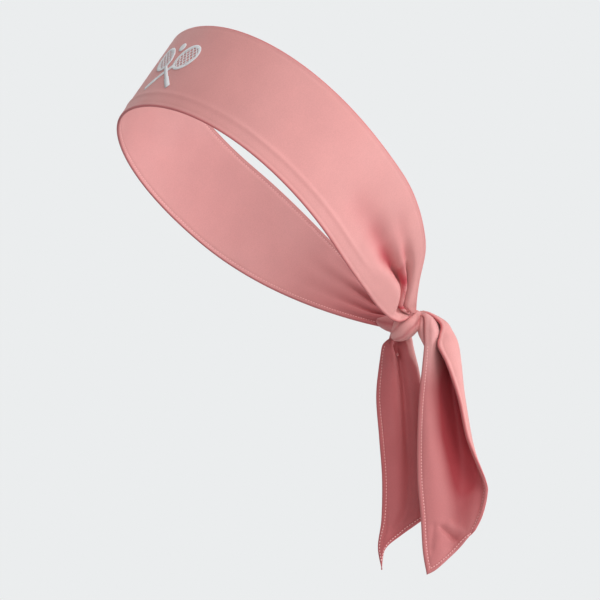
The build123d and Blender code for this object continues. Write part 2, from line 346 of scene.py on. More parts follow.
def knit(name, colour, shade_colour):
    """Fine jersey: columns of V-shaped loops, a slight mottle, and painted shade: a darker, redder colour in
    folds and at hems.
    """
    finish = Finish(name, KNIT_ROUGHNESS, KNIT_SHEEN, KNIT_TINT)
    pattern = finish.node("ShaderNodeUVMap", uv_map="flat").outputs["UV"]
    flat = finish.node("ShaderNodeSeparateXYZ", {"Vector": pattern}).outputs
    arm = finish.maths("PINGPONG", finish.maths("DIVIDE", flat["X"], WALE), 0.5)
    slant = finish.maths("MULTIPLY_ADD", arm, 1.4, finish.maths("DIVIDE", flat["Y"], COURSE))
    loop = finish.maths("SINE", finish.maths("MULTIPLY", slant, 2 * pi))
    height = finish.maths("MULTIPLY_ADD", loop, 0.3, arm)
    finish.bump(height, 0.12 * MM, 0.35)
    mottle = finish.speckled(45, 0.965, 1.035, 4)
    heather = finish.speckled(1500, 0.965, 1.035, 2)
    # Painted shade: the colour turns darker and redder at turned hems and in folds.
    hem_painted_shade = finish.mapped(finish.attribute("hem"), 0.2 * MM, 1.3 * MM, HEM_PAINTED_SHADE, 0)
    depth = finish.maths("MAXIMUM", finish.attribute("painted_shade"), hem_painted_shade)
    # Painted shade in the furrows between the knit's loops.
    furrow_shade = finish.mapped(height, -0.2, 0.6, 0.95, 1.02)
    shade = finish.maths("MULTIPLY", finish.maths("MULTIPLY", mottle, heather), furrow_shade)
    finish.colour(finish.blended(depth, colour, shade_colour), shade)
    return finish.material


def spun(name, colour):
    """Twisted sewing thread, with a soft lustre."""
    finish = Finish(name, 0.5, 0.3, THREAD_TINT)
    wave = {"Vector": finish.place, "Scale": 700, "Distortion": 1.5}
    twist = finish.node("ShaderNodeTexWave", wave, bands_direction="DIAGONAL").outputs["Fac"]
    finish.bump(twist, 0.05 * MM, 0.5)
    # Painted shade in the grooves of the twist.
    finish.colour(colour, finish.mapped(twist, 0, 1, 0.9, 1.04))
    return finish.material


def transfer(name, colour):
    """A heat-pressed print: smooth, faintly crazed, with the knit just showing through."""
    finish = Finish(name, 0.5, 0.0, WHITE)
    grain = finish.noise(1800, 2)
    cells = {"Vector": finish.place, "Scale": 320}
    craze = finish.node("ShaderNodeTexVoronoi", cells, feature="DISTANCE_TO_EDGE")
    crack = finish.mapped(craze.outputs["Distance"], 0, 0.04, 0.93, 1)
    finish.bump(finish.maths("ADD", grain, crack), 0.04 * MM, 0.4)
    fleck = finish.mapped(grain, NOISE_LOW, NOISE_HIGH, 0.97, 1.02)
    finish.colour(colour, finish.maths("MULTIPLY", crack, fleck))
    return finish.material


# Each knit's second colour is its painted shade, for folds, hems and the knot.
shell_knit = knit("shell_knit", (0.71, 0.305, 0.29), (0.50, 0.03, 0.05))
lining_knit = knit("lining_knit", (0.69, 0.305, 0.295), (0.40, 0.04, 0.05))
thread = spun("pale_thread", (0.92, 0.5, 0.48))
print_white = transfer("pale_print", (0.86, 0.86, 0.88))


# ---- The loop ----
LEFT_CONE, RIGHT_CONE = radians(-4.4), radians(2.8)     # how far the band leans outwards at its sides,
FRONT_CONE = radians(-4.6)                              # at the forehead,
LEFT_BACK_CONE, RIGHT_BACK_CONE = radians(-20.4), radians(-19.1)        # and towards the knot
LEFT_GATHER, RIGHT_GATHER = 0.60, 0.47      # share of the half loop where the band starts to gather


def rim(turn):
    """The loop's plan: turn is 0 at the forehead, +pi and -pi at the knot."""
    left = turn >= 0
    taper = np.where(left, LEFT_TAPER, RIGHT_TAPER)
    half_width = np.where(left, LEFT_HALF_WIDTH, RIGHT_HALF_WIDTH)
    widest = np.arccos(taper / (2 + taper))
    spread = np.sin(turn) * np.maximum(np.cos(turn / 2), 1e-9) ** taper
    largest = np.sin(widest) * np.cos(widest / 2) ** taper
    lean = KNOT_SHIFT * np.maximum(0, 2 * np.abs(turn) / pi - 1) ** 2
    return half_width * spread / largest + lean, -HALF_LENGTH * np.cos(turn)


def smooth_band(turn, across):
    """The band before it is pleated: across runs from 0 at the lower edge to 1 at the upper."""
    step = 1e-4
    x, y = rim(turn)
    x_next, y_next = rim(turn + step)
    x_last, y_last = rim(turn - step)
    run = np.hypot(x_next - x_last, y_next - y_last)
    out_x, out_y = (y_next - y_last) / run, -(x_next - x_last) / run
    left = turn >= 0
    side_cone = np.where(left, LEFT_CONE, RIGHT_CONE)
    back_cone = np.where(left, LEFT_BACK_CONE, RIGHT_BACK_CONE)
    end_cone = np.where(np.cos(turn) > 0, FRONT_CONE, back_cone)
    cone = side_cone + (end_cone - side_cone) * np.cos(turn) ** 2
    start = np.where(left, LEFT_GATHER, RIGHT_GATHER)
    gather = ease((np.abs(turn) / pi - start) / (1 - start))
    rise = (BAND_WIDTH * (1 - gather) + KNOT_WIDTH * gather) * (across - 0.5)
    x = x - out_x * np.sin(cone) * rise
    y = y - out_y * np.sin(cone) * rise
    z = np.cos(cone) * rise - GATHER_DROP * gather
    return np.stack([x, y * tilt_cos + z * tilt_sin, -y * tilt_sin + z * tilt_cos], -1)


def pleat(across, centre, half_width, depth, overhang):
    """How far the cloth sinks, and how far it creeps up the band, at one valley between two pleats."""
    at = (across - centre) / half_width
    well = np.exp(-at**2)
    creep = np.exp(-((at + 1.1) / 0.8) ** 2) - 0.35 * np.exp(-((at - 1.1) / 0.8) ** 2)
    return depth * well, overhang * creep


# The valleys between the pleats: where each lies across the band, its half width there, and its depth
# and overhang in millimetres, each by share of the half loop.
LEFT_PLEATS = (
    (
        ((0.56, 0.43), (0.68, 0.45), (0.76, 0.49), (0.86, 0.47), (1.0, 0.47)),
        ((0.56, 0.17), (0.68, 0.12), (0.76, 0.085), (0.84, 0.065), (1.0, 0.06)),
        (
            (0.52, 0.0), (0.60, 1.2), (0.66, 3.2), (0.72, 6.0),
            (0.80, 10.0), (0.85, 9.0), (0.90, 2.5), (1.0, 0.0),
        ),
        ((0.70, 0.0), (0.77, 1.5), (0.83, 2.4), (0.90, 0.8), (1.0, 0.0)),
    ),
    (
        ((0.60, 0.72), (0.74, 0.70), (0.86, 0.66), (1.0, 0.66)),
        ((0.60, 0.12), (0.74, 0.065), (0.84, 0.05), (1.0, 0.06)),
        ((0.62, 0.0), (0.69, 1.0), (0.74, 3.2), (0.80, 7.0), (0.85, 4.5), (0.90, 0.8), (1.0, 0.0)),
        ((0.72, 0.0), (0.80, 1.6), (0.86, 1.0), (0.92, 0.0), (1.0, 0.0)),
    ),
)
RIGHT_PLEATS = (
    (
        ((0.60, 0.16), (0.80, 0.20), (1.0, 0.25)),
        ((0.60, 0.09), (0.80, 0.07), (1.0, 0.08)),
        ((0.62, 0.0), (0.72, 0.6), (0.80, 2.0), (0.90, 4.0), (1.0, 1.5)),
        ((0.74, 0.0), (0.85, 0.8), (1.0, 0.3)),
    ),
    (
        ((0.60, 0.42), (0.80, 0.45), (1.0, 0.5)),
        ((0.60, 0.14), (0.80, 0.09), (1.0, 0.08)),
        ((0.60, 0.0), (0.70, 0.7), (0.80, 2.5), (0.90, 4.5), (1.0, 1.5)),
        ((0.74, 0.0), (0.85, 0.8), (1.0, 0.3)),
    ),
    (
        ((0.60, 0.70), (0.80, 0.72), (1.0, 0.75)),
        ((0.60, 0.12), (0.80, 0.07), (1.0, 0.08)),
        ((0.62, 0.0), (0.72, 1.0), (0.80, 3.5), (0.90, 5.0), (1.0, 1.5)),
        ((0.70, 0.0), (0.85, 1.0), (1.0, 0.3)),
    ),
)

# The left end lies over the knot: share of the half loop, then the lower edge, the lip beside the
# deep valley and the upper edge, each (aft, out, up) in millimetres from the knot's middle.
LEFT_END = (
    (0.76, (-22.5, 41, 8.5), (-7, 39, 21.5), (7.5, 35.5, 33)),
    (0.80, (-17, 31, 4), (-4, 28.5, 15), (6.5, 24.5, 23)),
    (0.84, (-12, 21.5, 1), (-5.5, 20, 7.5), (5.5, 16.5, 15.5)),
    (0.87, (-8.5, 15.5, 0), (-6.5, 14.5, 5), (5, 12, 10.5)),
    (0.90, (-5, 11.5, -0.5), (-4, 10.5, 4.5), (5, 8, 8)),
    (0.93, (-1, 9, 1), (-0.5, 8, 4), (5, 4.5, 6)),
    (0.96, (1.5, 6, 3), (2, 5.5, 4.5), (5, 2, 5)),
    (1.00, (3, 1, 3), (3.5, 1, 3.5), (5, -2, 4)),
)
LIP = 0.43                  # how far across the band that lip runs
END_START, END_RAMP = 0.73, 0.08        # share of the half loop where the left end takes over


def left_end(share, across):
    """The gathered left end, before it is pleated."""
    shares = [row[0] for row in LEFT_END]
    at = np.interp(share, shares, np.arange(len(shares)))
    lower, lip, upper = (smooth_line(from_knot([row[k] for row in LEFT_END]), at) for k in (1, 2, 3))
    below = (across / LIP)[..., None]
    above = ((across - LIP) / (1 - LIP))[..., None]
    return np.where(below < 1, lower + (lip - lower) * below, lip + (upper - lip) * above)


def unpleated_band(turn, across):
    share = np.abs(turn) / pi
    at_end = (ease((share - END_START) / END_RAMP) * (turn > 0))[..., None]
    return smooth_band(turn, across) * (1 - at_end) + left_end(share, across) * at_end


def pleat_depth(turn, across):
    """How far the cloth sinks between the pleats, and creeps up the band there, in millimetres."""
    share = np.abs(turn) / pi
    sink = np.zeros_like(across)
    creep = np.zeros_like(across)
    for side, pleats in ((turn >= 0, LEFT_PLEATS), (turn < 0, RIGHT_PLEATS)):
        for centre, half_width, depth, overhang in pleats:
            well, shift = pleat(
                across, by_table(share, centre), by_table(share, half_width),
                by_table(share, depth), by_table(share, overhang),
            )
            sink += well * side
            creep += shift * side
    return sink, creep


def band_surface(turn, across):
    """The outside face of the band, with its pleats."""
    sink, creep = pleat_depth(turn, across)
    base = unpleated_band(turn, across)
    up_band = unit(unpleated_band(turn, across + 0.02) - unpleated_band(turn, across - 0.02))
    ahead = unpleated_band(turn + 0.002, across) - unpleated_band(turn - 0.002, across)
    outward = unit(np.cross(ahead, up_band))
    return base - outward * (sink * MM)[..., None] + up_band * (creep * MM)[..., None]


DIP_WIDTH = 0.55 * MM       # of the pit along the stitch line
SWELL_PLACE, SWELL_WIDTH = 1.3 * MM, 0.8 * MM       # of the soft roll beside a hem


def layer_lift(distance, puff=0.0, dip=0.3 * MM):
    """How far a layer stands off the middle of the two-layer cloth, by distance from the hem."""
    turn_over = np.sqrt(np.clip(1 - (1 - np.clip(distance / HEM, 0, 1)) ** 2, 0, 1))
    stitch_dip = dip * np.exp(-((distance - HEM_STEPS[STITCH_LINE]) / DIP_WIDTH) ** 2)
    hem_swell = puff * np.exp(-((distance - SWELL_PLACE) / SWELL_WIDTH) ** 2)
    return EDGE_GAP + (HEM - EDGE_GAP) * turn_over - stitch_dip + hem_swell


BAND_ROWS, BAND_COLUMNS = 441, 181
BAND_BETWEEN_HEMS = 58      # columns between the close-set ones at the two hems
BAND_END = 0.985            # share of the half loop where the band stops, inside the knot
RIDGE_HEIGHT, RIDGE_PLACE, RIDGE_WIDTH = 0.35 * MM, 9 * MM, 1.3 * MM    # the seam under the lower hem
RIDGE_FADE, RIDGE_FADE_RUN = 0.6, 0.15      # share of the half loop where it fades out
FULL_SHADE_PLEAT = 7.0         # pleat depth in millimetres where the painted shade is full
BESIDE_LIP, BESIDE_LIP_WIDTH = 0.57, 0.13   # painted shade in the valley beside the lip: where it lies across the band, its width there,
LIP_VALLEY_START, LIP_VALLEY_RUN = 0.84, 0.035      # and the share of the half loop where it comes in
LINING_SHADE_START, LINING_SHADE_RUN = 0.55, 0.38     # the same for the painted shade on the lining near the knot,
LEFT_LINING_SHADE, RIGHT_LINING_SHADE = 0.35, 0.85    # and how far it goes at the knot
BAND_STITCH_END = 20        # rows without stitches at each end, inside the knot

turn_spread = np.linspace(-1, 1, BAND_ROWS)
turn_line = pi * BAND_END * (turn_spread + 0.06 * np.sin(pi * turn_spread))     # closer set near the knot
turn_grid, across_grid = np.meshgrid(turn_line, np.linspace(0, 1, BAND_COLUMNS), indexing="ij")
outer_face = band_surface(turn_grid, across_grid)
band_middle = hemmed(outer_face - grid_normals(outer_face) * HEM, 1, BAND_BETWEEN_HEMS)
band_normal = grid_normals(band_middle)
from_hem = edge_distance(band_middle, 1)
from_lower = edge_distance(band_middle, 1, at_end=False)
share_of_turn = (np.abs(turn_line) / pi)[:, None]
ridge_line = np.exp(-((from_lower - RIDGE_PLACE) / RIDGE_WIDTH) ** 2)
hem_ridge = RIDGE_HEIGHT * ridge_line * (1 - ease((share_of_turn - RIDGE_FADE) / RIDGE_FADE_RUN))
across_hemmed = from_lower / from_lower[:, -1:]
turn_hemmed = np.broadcast_to(turn_line[:, None], across_hemmed.shape)
# Painted shade on the band: in the pleats' valleys and the valley beside the lip on the shell, and near the
# knot on the lining.
band_painted_shade = np.clip(pleat_depth(turn_hemmed, across_hemmed)[0] / FULL_SHADE_PLEAT, 0, 1)
lip_valley_shade = np.exp(-((across_hemmed - BESIDE_LIP) / BESIDE_LIP_WIDTH) ** 2) * (turn_line > 0)[:, None]
band_painted_shade = np.maximum(band_painted_shade, ease((share_of_turn - LIP_VALLEY_START) / LIP_VALLEY_RUN) * lip_valley_shade)
lining_shade_share = np.where(turn_line < 0, RIGHT_LINING_SHADE, LEFT_LINING_SHADE)[:, None]
lining_knot_shade = ease((share_of_turn - LINING_SHADE_START) / LINING_SHADE_RUN) * lining_shade_share
shell_grid = band_middle + band_normal * (layer_lift(from_hem, dip=0.1 * MM) + hem_ridge)[..., None]
lining_grid = band_middle - band_normal * layer_lift(from_hem)[..., None]
band_shell = cloth("band_shell_cloth", shell_grid, shell_knit, hem=from_hem, painted_shade=band_painted_shade)
band_lining = cloth(
    "band_lining_cloth", lining_grid, lining_knit, face_up=False, hem=from_hem, painted_shade=lining_knot_shade,
)
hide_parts("band_shell")
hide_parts("band_lining")
stitched = slice(BAND_STITCH_END, -BAND_STITCH_END)
for row, node in ((STITCH_LINE, "band_bottom_stitching"), (-1 - STITCH_LINE, "band_top_stitching")):
    stitches = stitch_row(node + "_thread", lining_grid[stitched, row], -band_normal[stitched, row], thread)
    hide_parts(node)
    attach(stitches, "band")
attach(band_shell, "band")
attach(band_lining, "band")


# ---- Printed emblem: two crossed rackets and a ball ----
EMBLEM_TURN = 0.25          # its middle, round the loop from the forehead towards the wearer's left
RACKET_LEAN = radians(50)
CROSSING = -4.0             # every length of the emblem is in millimetres
HEAD_PLACE, HEAD_WIDTH, HEAD_LENGTH, HEAD_RIM = 14.5, 15.0, 20.0, 2.0
HANDLE_END, HANDLE_WIDTH = -17.0, 2.4
GRIP_LENGTH, GRIP_WIDTH = 9.0, 3.2
STRING_WIDTH, STRING_GAP = 0.45, 2.3
BALL_PLACE, BALL_RADIUS = 12.5, 2.8
LOWER_PROUD, UPPER_PROUD = 0.30, 0.40      # how far each racket stands off the band,
BALL_PROUD = 0.34           # and the ball
PATCH_STEP = 0.01           # patches of one racket differ in height by this
PRINT_THICKNESS = 0.22 * MM


def strip(start, end, width):
    """A straight strip as a grid of places, from one (across, along) place to another."""
    start, end = np.array(start, float), np.array(end, float)
    run = (end - start) / np.hypot(*(end - start))
    side = np.array((run[1], -run[0])) * width / 2
    along = start + (end - start) * np.linspace(0, 1, 24)[:, None]
    return np.stack([along - side, along, along + side])


def ring(centre, half_width, half_length, rim):
    """An elliptical ring, or a disc where the rim is as wide as the half width."""
    angle = np.linspace(0, 2 * pi, 73)
    inwards = np.linspace(1, 0, 4)[:, None] * rim
    across = centre[0] + (half_width - inwards) * np.cos(angle)
    return np.stack([across, centre[1] + (half_length - inwards) * np.sin(angle)], -1)


def racket():
    """One upright racket: its head, handle, grip and strings, each a flat patch."""
    half_width, half_length = HEAD_WIDTH / 2, HEAD_LENGTH / 2
    patches = [
        ring((0, HEAD_PLACE), half_width, half_length, HEAD_RIM),
        strip((0, HANDLE_END), (0, HEAD_PLACE - half_length + HEAD_RIM / 2), HANDLE_WIDTH),
        strip((0, HANDLE_END), (0, HANDLE_END + GRIP_LENGTH), GRIP_WIDTH),
    ]
    for k in (-2, -1, 0, 1, 2):
        aside = k * STRING_GAP
        reach = (half_length - HEAD_RIM / 2) * (1 - (aside / half_width) ** 2) ** 0.5
        patches.append(strip((aside, HEAD_PLACE - reach), (aside, HEAD_PLACE + reach), STRING_WIDTH))
    for k in (-3, -2, -1, 0, 1, 2, 3):
        along = k * STRING_GAP
        reach = (half_width - HEAD_RIM / 2) * (1 - (along / half_length) ** 2) ** 0.5
        patches.append(strip((-reach, HEAD_PLACE + along), (reach, HEAD_PLACE + along), STRING_WIDTH))
    return patches


def on_band(places, proud):
    """Places of the emblem laid on the outside of the band, so many millimetres proud of it."""
    turns = np.linspace(-0.6, 1.2, 400)
    x, y = rim(turns)
    far = np.insert(np.cumsum(np.hypot(np.diff(x), np.diff(y))), 0, 0)
    start = np.interp(EMBLEM_TURN, turns, far)
    turn = np.interp(start + places[..., 0] * MM, far, turns)
    across = 0.5 + places[..., 1] * MM / BAND_WIDTH
    step = 1e-3
    ahead = band_surface(turn + step, across) - band_surface(turn - step, across)
    up = band_surface(turn, across + step) - band_surface(turn, across - step)
    return band_surface(turn, across) + unit(np.cross(ahead, up)) * proud * MM


def printed(name, layers):
    """One print from flat patches, each laid at its own height."""
    points, faces = [], []
    for places, proud in layers:
        faces.extend((grid_quads(*places.shape[:2]) + len(points)).tolist())
        points.extend(on_band(places, proud).reshape(-1, 3).tolist())
    piece = mesh_piece(name, points, faces, print_white)
    thicken(piece, PRINT_THICKNESS)
    return piece


emblem = [(ring((0, BALL_PLACE), BALL_RADIUS, BALL_RADIUS, BALL_RADIUS), BALL_PROUD)]
for lean, proud in ((RACKET_LEAN, LOWER_PROUD), (-RACKET_LEAN, UPPER_PROUD)):
    turned = np.array(((cos(lean), -sin(lean)), (sin(lean), cos(lean))))
    for order, patch in enumerate(racket()):
        emblem.append((patch @ turned + (0, CROSSING), proud + PATCH_STEP * (order % 3)))
band_print = printed("crossed_rackets_print", emblem)
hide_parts("front_print")
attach(band_print, "band")


# ---- Tails ----
# Each row goes down a tail: places across the cloth, (aft, out, up) in millimetres from the knot's middle.
LEFT_TAIL = (
    # front edge, crest beside it, deepest place, fold at the back, free edge of the lip
    ((5, -1, 3), (6, 0.5, 3.5), (6, -3, 4.5), (5.5, -4, 5), (6.5, -1, 4)),
    ((8.5, 3.5, 3.5), (9.5, 4.5, 4.5), (9.5, -1.5, 6), (9, -2.5, 7.5), (12, 0.5, 5.2)),
    ((9, 5.5, 0.5), (13, 5.5, 1), (16, -4.5, 3), (20.5, -3, 2), (18.3, 0.5, -0.5)),
    ((9, 5.5, -6), (15, 5.5, -5.5), (20, -7, -4), (25, -4, -4), (17.3, 3, -7.5)),
    ((9, 5, -12.5), (14, 5, -12), (20.5, -8, -11.5), (28, -4.5, -11), (16.5, 6, -13.5)),
    ((8, 3.5, -23.5), (13.5, 2.5, -23.5), (23, -10, -22.5), (29.5, -5.5, -22.5), (21.5, 5.5, -24)),
    ((6, 2, -43), (13.5, 0.5, -43), (25.5, -12.5, -41.5), (31, -6.5, -41.5), (28, 3, -43)),
    ((5, 1, -65.5), (14, 0.5, -65.5), (28, -12, -64), (34.5, -8, -64), (33, 0, -65)),
    ((5, 1.5, -88), (15, 0.5, -88), (29.5, -9, -87), (38, -7, -86.5), (42.5, -1, -87.5)),
    ((6.5, 3, -108), (16, 1.5, -104.5), (28.5, -5.5, -99.5), (37, -4.5, -97.5), (43.5, -0.5, -95.5)),
    ((7.5, 4, -127), (16.5, 2.5, -122), (27, -2.5, -117), (34.5, -2, -111.5), (40.8, 0, -106.5)),
    ((9.6, 4.5, -140), (15, 3, -137), (24.5, 0, -128.5), (31, 0, -121.5), (36.5, 0.5, -114.8)),
)
LEFT_SHARES = (0, 0.15, 0.45, 0.72, 0.86, 1)       # how far across the cloth each place is
RIGHT_TAIL = (
    # front edge, ridge, valley, back edge
    ((-6.5, -5, -2.5), (-4, -3, -2.5), (-2.5, -5, -2.5), (0, -6, -2.5)),
    ((-7.5, -12, 0.5), (-5, -11, 1.5), (-3, -12.5, 1.5), (0.5, -12, 0.5)),
    ((-9.5, -16, -5.5), (-6.5, -13, -4), (-4.5, -17, -4.5), (2, -16, -5)),
    ((-13, -16, -11.5), (-8.5, -12, -11.5), (-5, -16.5, -11), (3, -15, -12.5)),
    ((-15.5, -16, -23), (-8.5, -12, -24), (-3.5, -16.5, -23), (5.5, -15.5, -23.5)),
    ((-17, -16.5, -40), (-8, -13, -40.5), (-1.5, -18, -39.5), (8.5, -16.5, -39)),
    ((-15.5, -16, -62.5), (-6.5, -14.5, -63), (0, -18.5, -62.5), (11.5, -16.5, -61.5)),
    ((-14, -16, -85.5), (-6, -15.5, -85.5), (1, -18, -84.5), (12, -16, -83.5)),
    ((-14.5, -16, -108), (-6.5, -15.5, -104), (0, -17, -101.5), (12.5, -15, -97)),
    ((-16.5, -15.5, -123.5), (-11, -15, -116), (-3, -16, -111), (12, -15, -101.5)),
    ((-14.5, -12.5, -136.5), (-12.5, -14.5, -125), (-3.5, -15, -117), (12.5, -14.5, -106)),
)
# More of the strip is folded behind that back edge: how wide it is in each row, in millimetres.
RIGHT_FLAP = (0, 1, 4, 8, 13, 18, 20, 20, 20, 20, 20)
RIGHT_SHARES = (0, 0.16, 0.30, 0.45, 0.60, 0.65, 0.82, 1)
FLAP_FROM, FLAP_FADE = 0.62, 0.05       # share across where the flap starts, and where its painted shade fades out
TAIL_ROWS, LEFT_COLUMNS, RIGHT_COLUMNS = 260, 200, 220      # of the smooth grid through the control places
TAIL_BETWEEN_HEMS = (150, 60)       # rows above the hem at the end, columns between the side hems
TAIL_STITCH_FROM = 24       # rows at the knot without stitches
TAIL_PUFF = 0.25 * MM       # height of the soft roll beside a tail's hems
LEFT_BULGE, RIGHT_BULGE = 0.18, -0.12       # how far an added control place bows, by share of the gap
LEFT_CREASES = (
    # start and end as (aft, up) millimetres from the knot's middle, then depth and width
    ((17, -113), (27, -121), 1.5, 1.8),
    ((21, -111.5), (31, -117), -0.9, 2.2),
    ((12, -30), (15, -75), 0.5, 3.0),
    ((12, -128), (14, -112), 0.6, 1.8),
)
RIGHT_CREASES = (
    ((-8.6, -6), (-4, -17), 1.8, 1.4),
    ((-12, -9), (-10, -22), -1.0, 2.5),
    ((6, -28), (8, -70), 0.5, 3.0),
)
FULL_SHADE_DEPTH = 11.0         # millimetres behind its edges where a tail's painted shade is full
SHADE_FADE_RUN = 25 * MM          # how far the painted shade takes to come in below the knot
INNER_FOLD = (
    # the small fold tucked between the knot and the left tail: front edge, middle, back edge
    ((4, -1, 4.5), (6.5, 2.5, 5), (9.5, 1.5, 5)),
    ((5.5, 1, 2.5), (8, 4.5, 2.5), (11, 2, 2.5)),
    ((5, 1.5, -1.5), (7.5, 5, -2), (11, 2.5, -1.5)),
    ((6, 1.5, -6), (8, 4, -6.5), (11, 2.5, -6)),
    ((7.5, 2, -9.5), (9, 3, -9.5), (11, 2, -9.5)),
    ((9, 2, -12.5), (9.5, 2.5, -12.5), (10, 2, -12.5)),
)
INNER_SHARES = (0, 0.5, 1)
INNER_ROWS, INNER_COLUMNS = 60, 24
INNER_THICKNESS = 1.2 * MM


def between(rows, first, second, bulge):
    """One more control place in each row, midway between two others and bowed to the side."""
    result = []
    for row in np.asarray(rows, float):
        chord = row[second] - row[first]
        side = np.array((chord[1], -chord[0], 0)) * bulge
        result.append(np.insert(row, second, (row[first] + row[second]) / 2 + side, axis=0))
    return np.array(result)


def folded_behind(rows, flap):
    """Each row carried on round a fold at its back edge and forward again behind the tail.

    The slanted cut goes on across the flap, so its lower end climbs with its width."""
    result = []
    for i, (row, width) in enumerate(zip(np.asarray(rows, float), flap)):
        climb = width * (i / (len(flap) - 1)) ** 2
        gap = min(width / 8, 1)
        turned = [(0.5 * gap, -2.4 * gap, 0), (-width / 2, -4 * gap, climb / 2), (-width, -4.4 * gap, climb)]
        result.append(np.concatenate([row, row[-1] + np.array(turned)]))
    return np.array(result)


def draped(rows, shares, down_count, across_count):
    """A smooth grid of cloth through rows of control places."""
    rows = np.asarray(rows, float)
    rows = smooth_line(rows, np.linspace(0, len(rows) - 1, down_count))
    across = np.interp(np.linspace(0, 1, across_count), shares, np.arange(len(shares)))
    grid = smooth_line(np.moveaxis(rows, 1, 0), across)
    return from_knot(np.moveaxis(grid, 0, 1))


def creased(grid, creases):
    """The grid with folds pressed into it."""
    places = (grid - KNOT) @ KNOT_AXES.T / MM
    sink = 0
    for start, end, depth, width in creases:
        run = np.subtract(end, start)
        aside = places[..., (0, 2)] - start
        share = aside @ run / (run @ run)
        off = (aside[..., 0] * run[1] - aside[..., 1] * run[0]) / np.hypot(*run)
        sink = sink + depth * np.exp(-(off / width) ** 2) * ease((1.3 - np.abs(2 * share - 1)) / 0.6)
    return grid - grid_normals(grid) * (sink * MM)[..., None]


def painted_shade_of(grid, base, depth, unshaded_top):
    """Painted shade: a base amount that fades in below the unshaded top, and more behind a row's edges, where
    the fold is shaded.
    """
    out = (grid - KNOT) @ KNOT_AXES[1] / MM
    brow = np.maximum.accumulate(out, axis=1)
    back_brow = np.maximum.accumulate(out[:, ::-1], axis=1)[:, ::-1]
    below_knot = ease((KNOT[2] - grid[..., 2] - unshaded_top) / SHADE_FADE_RUN)
    sunk = ease((np.minimum(brow, back_brow) - out) / FULL_SHADE_DEPTH)
    return np.clip(base * below_knot + depth * sunk, 0, 1)


def bend_at(piece):
    """Bakes the piece's placement into its mesh."""
    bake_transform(piece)


def hem_path(grid):
    """The points of a tail's stitch line: down one side, along the end and up the other."""
    sides = slice(TAIL_STITCH_FROM, -1 - STITCH_LINE)
    return np.concatenate([
        grid[sides, STITCH_LINE],
        grid[-1 - STITCH_LINE, STITCH_LINE:-1 - STITCH_LINE],
        grid[sides, -1 - STITCH_LINE][::-1],
    ])


def add_tail(side, middle, base, depth, unshaded_top, flap_from=1.1):
    """A tail's two layers and its stitching, from the grid midway between the layers.

    Beyond the share flap_from across, the strip is folded behind and gets no painted shade."""
    rows_between, columns_between = TAIL_BETWEEN_HEMS
    grid = hemmed(hemmed(middle, 1, columns_between), 0, rows_between, at_start=False)
    normal = grid_normals(grid)
    distance = np.minimum(edge_distance(grid, 1), edge_distance(grid, 0, at_start=False))
    lift = layer_lift(distance, puff=TAIL_PUFF)[..., None]
    lining_face = grid + normal * lift
    # Painted shade on the tail's lining, left off where the strip folds behind.
    open_face = ease((flap_from - np.linspace(0, 1, grid.shape[1])) / FLAP_FADE)
    painted_shade = painted_shade_of(grid, base, depth, unshaded_top) * open_face
    shell = cloth(side + "_tail_shell_cloth", grid - normal * lift, shell_knit, face_up=False, hem=distance)
    lining = cloth(side + "_tail_lining_cloth", lining_face, lining_knit, hem=distance, painted_shade=painted_shade)
    stitches = stitch_row(side + "_tail_thread", hem_path(lining_face), hem_path(normal), thread)
    for piece, node in ((shell, "shell"), (lining, "lining"), (stitches, "stitching")):
        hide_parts(f"{side}_tail_{node}")
        bend_at(piece)
    return shell, lining, stitches


left_rows = between(LEFT_TAIL, 3, 4, LEFT_BULGE)
left_grid = creased(draped(left_rows, LEFT_SHARES, TAIL_ROWS, LEFT_COLUMNS), LEFT_CREASES)
# The base, depth and top given here set how much shade is painted on each tail.
left_shell, left_lining, left_thread = add_tail(
    "left", left_grid, base=0.55, depth=0.8, unshaded_top=14 * MM,
)
right_rows = folded_behind(between(RIGHT_TAIL, 2, 3, RIGHT_BULGE), RIGHT_FLAP)
right_grid = creased(draped(right_rows, RIGHT_SHARES, TAIL_ROWS, RIGHT_COLUMNS), RIGHT_CREASES)
right_shell, right_lining, right_thread = add_tail(
    "right", right_grid, base=0.75, depth=0.5, unshaded_top=-12 * MM, flap_from=FLAP_FROM,
)
inner_grid = draped(INNER_FOLD, INNER_SHARES, INNER_ROWS, INNER_COLUMNS)
inner_fold = cloth("left_inner_fold_cloth", inner_grid, lining_knit, thickness=INNER_THICKNESS)
bend_at(inner_fold)
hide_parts("knot_left_loop")


# ---- Knot ----
ROLL_ROWS, ROLL_COLUMNS = 70, 90
ROLL_OPENING = 8            # degrees from the hidden side where each edge of the cloth lies


def rolled(name, line, radii, material, open_towards, painted_shade, creases):
    """A gathered length of the strip, rolled into a soft tube whose edges meet on the hidden side.

    Each crease is (degrees round the tube, depth as a share of the radius, width in degrees). The tube gets
    an even painted shade, and each crease adds more painted shade."""
    at = np.linspace(0, len(line) - 1, ROLL_ROWS)
    axis = smooth_line(from_knot(line), at)
    radius = smooth_line(np.asarray(radii, float)[:, None] * MM, at)
    tangent = unit(np.gradient(axis, axis=0))
    hidden = np.asarray(open_towards, float) @ KNOT_AXES
    hidden = unit(hidden - tangent * (tangent @ hidden)[:, None])
    side = np.cross(tangent, hidden)
    turns = np.radians(np.linspace(ROLL_OPENING, 360 - ROLL_OPENING, ROLL_COLUMNS))
    girth = np.ones_like(turns)
    for place, depth, width in creases:
        crease = np.exp(-((np.degrees(turns) - place) / width) ** 2)
        girth -= depth * crease
        # Painted shade along each crease.
        painted_shade = painted_shade + 3 * depth * crease
    spoke = hidden[:, None] * np.cos(turns)[None, :, None] + side[:, None] * np.sin(turns)[None, :, None]
    grid = axis[:, None] + spoke * (radius[:, None] * girth[None, :, None])
    return cloth(name, grid, material, painted_shade=painted_shade)


